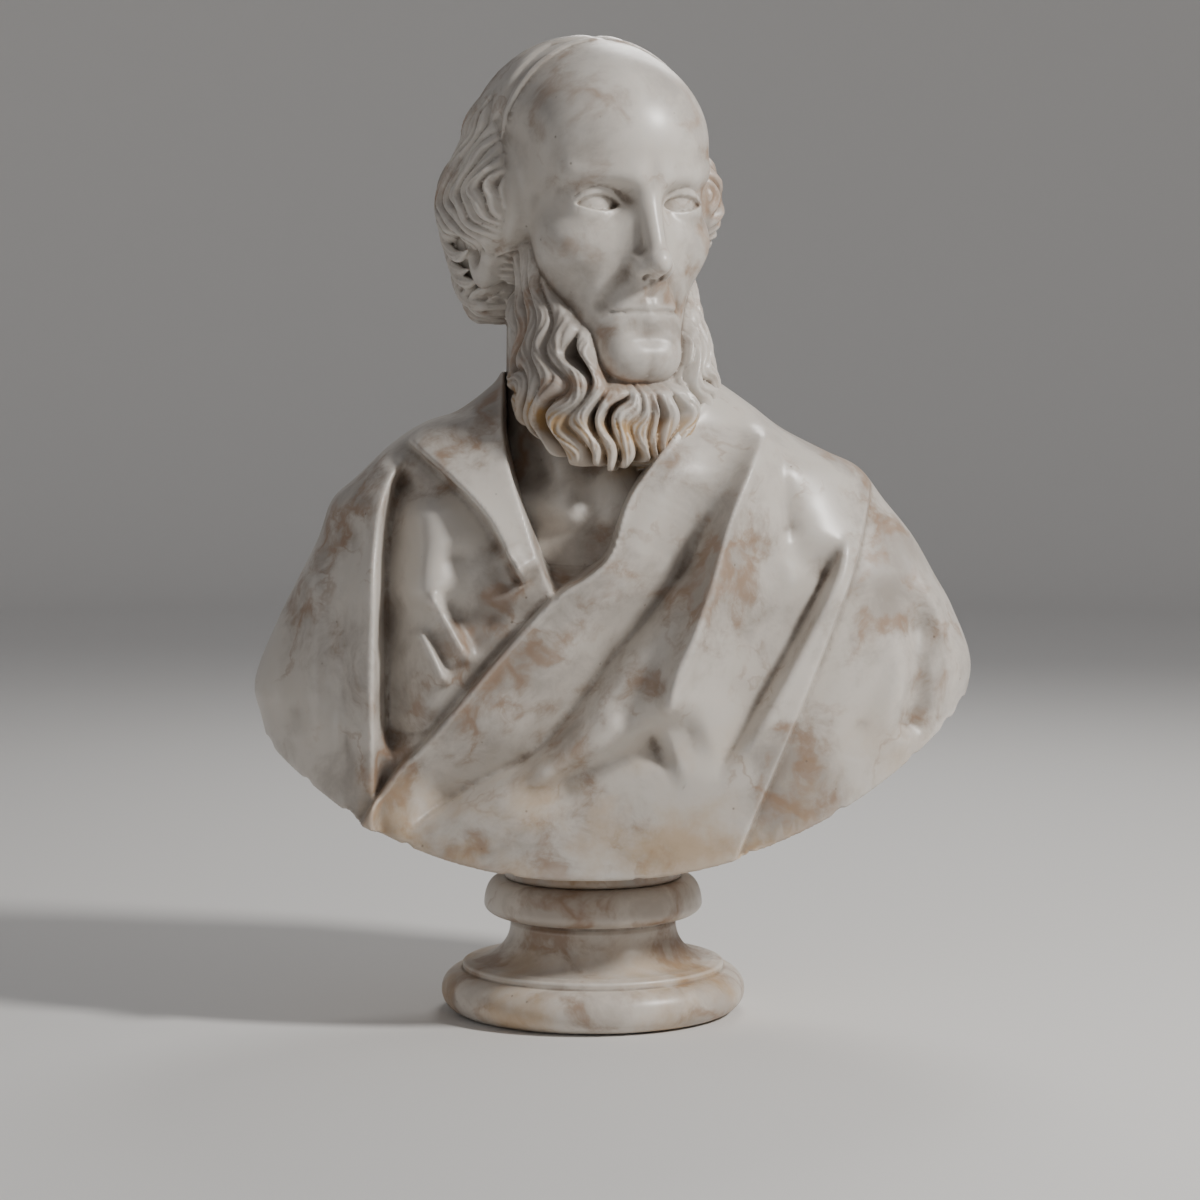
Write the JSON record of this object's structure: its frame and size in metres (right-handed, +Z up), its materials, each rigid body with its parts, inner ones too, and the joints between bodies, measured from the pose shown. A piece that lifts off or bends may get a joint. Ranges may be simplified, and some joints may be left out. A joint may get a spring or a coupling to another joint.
{
  "type": "marble portrait bust on a turned socle",
  "caption": "Bearded man's head turned to one side on a mantled bust with a rounded lower edge, on a turned round socle.",
  "frame": {"origin": "centre of the socle's flat underside, on the socle's axis", "axes": "+Z up; -Y is the front of the chest, +X is to the right as seen from the front; the head is turned towards +X"},
  "size_m": [0.5319, 0.2871, 0.7228],
  "materials": {
    "bust_marble": "polished",
    "socle_marble": "polished"
  },
  "bodies": {
    "root": {"bust": "bust_marble", "socle": "socle_marble"}
  },
  "joints": []
}
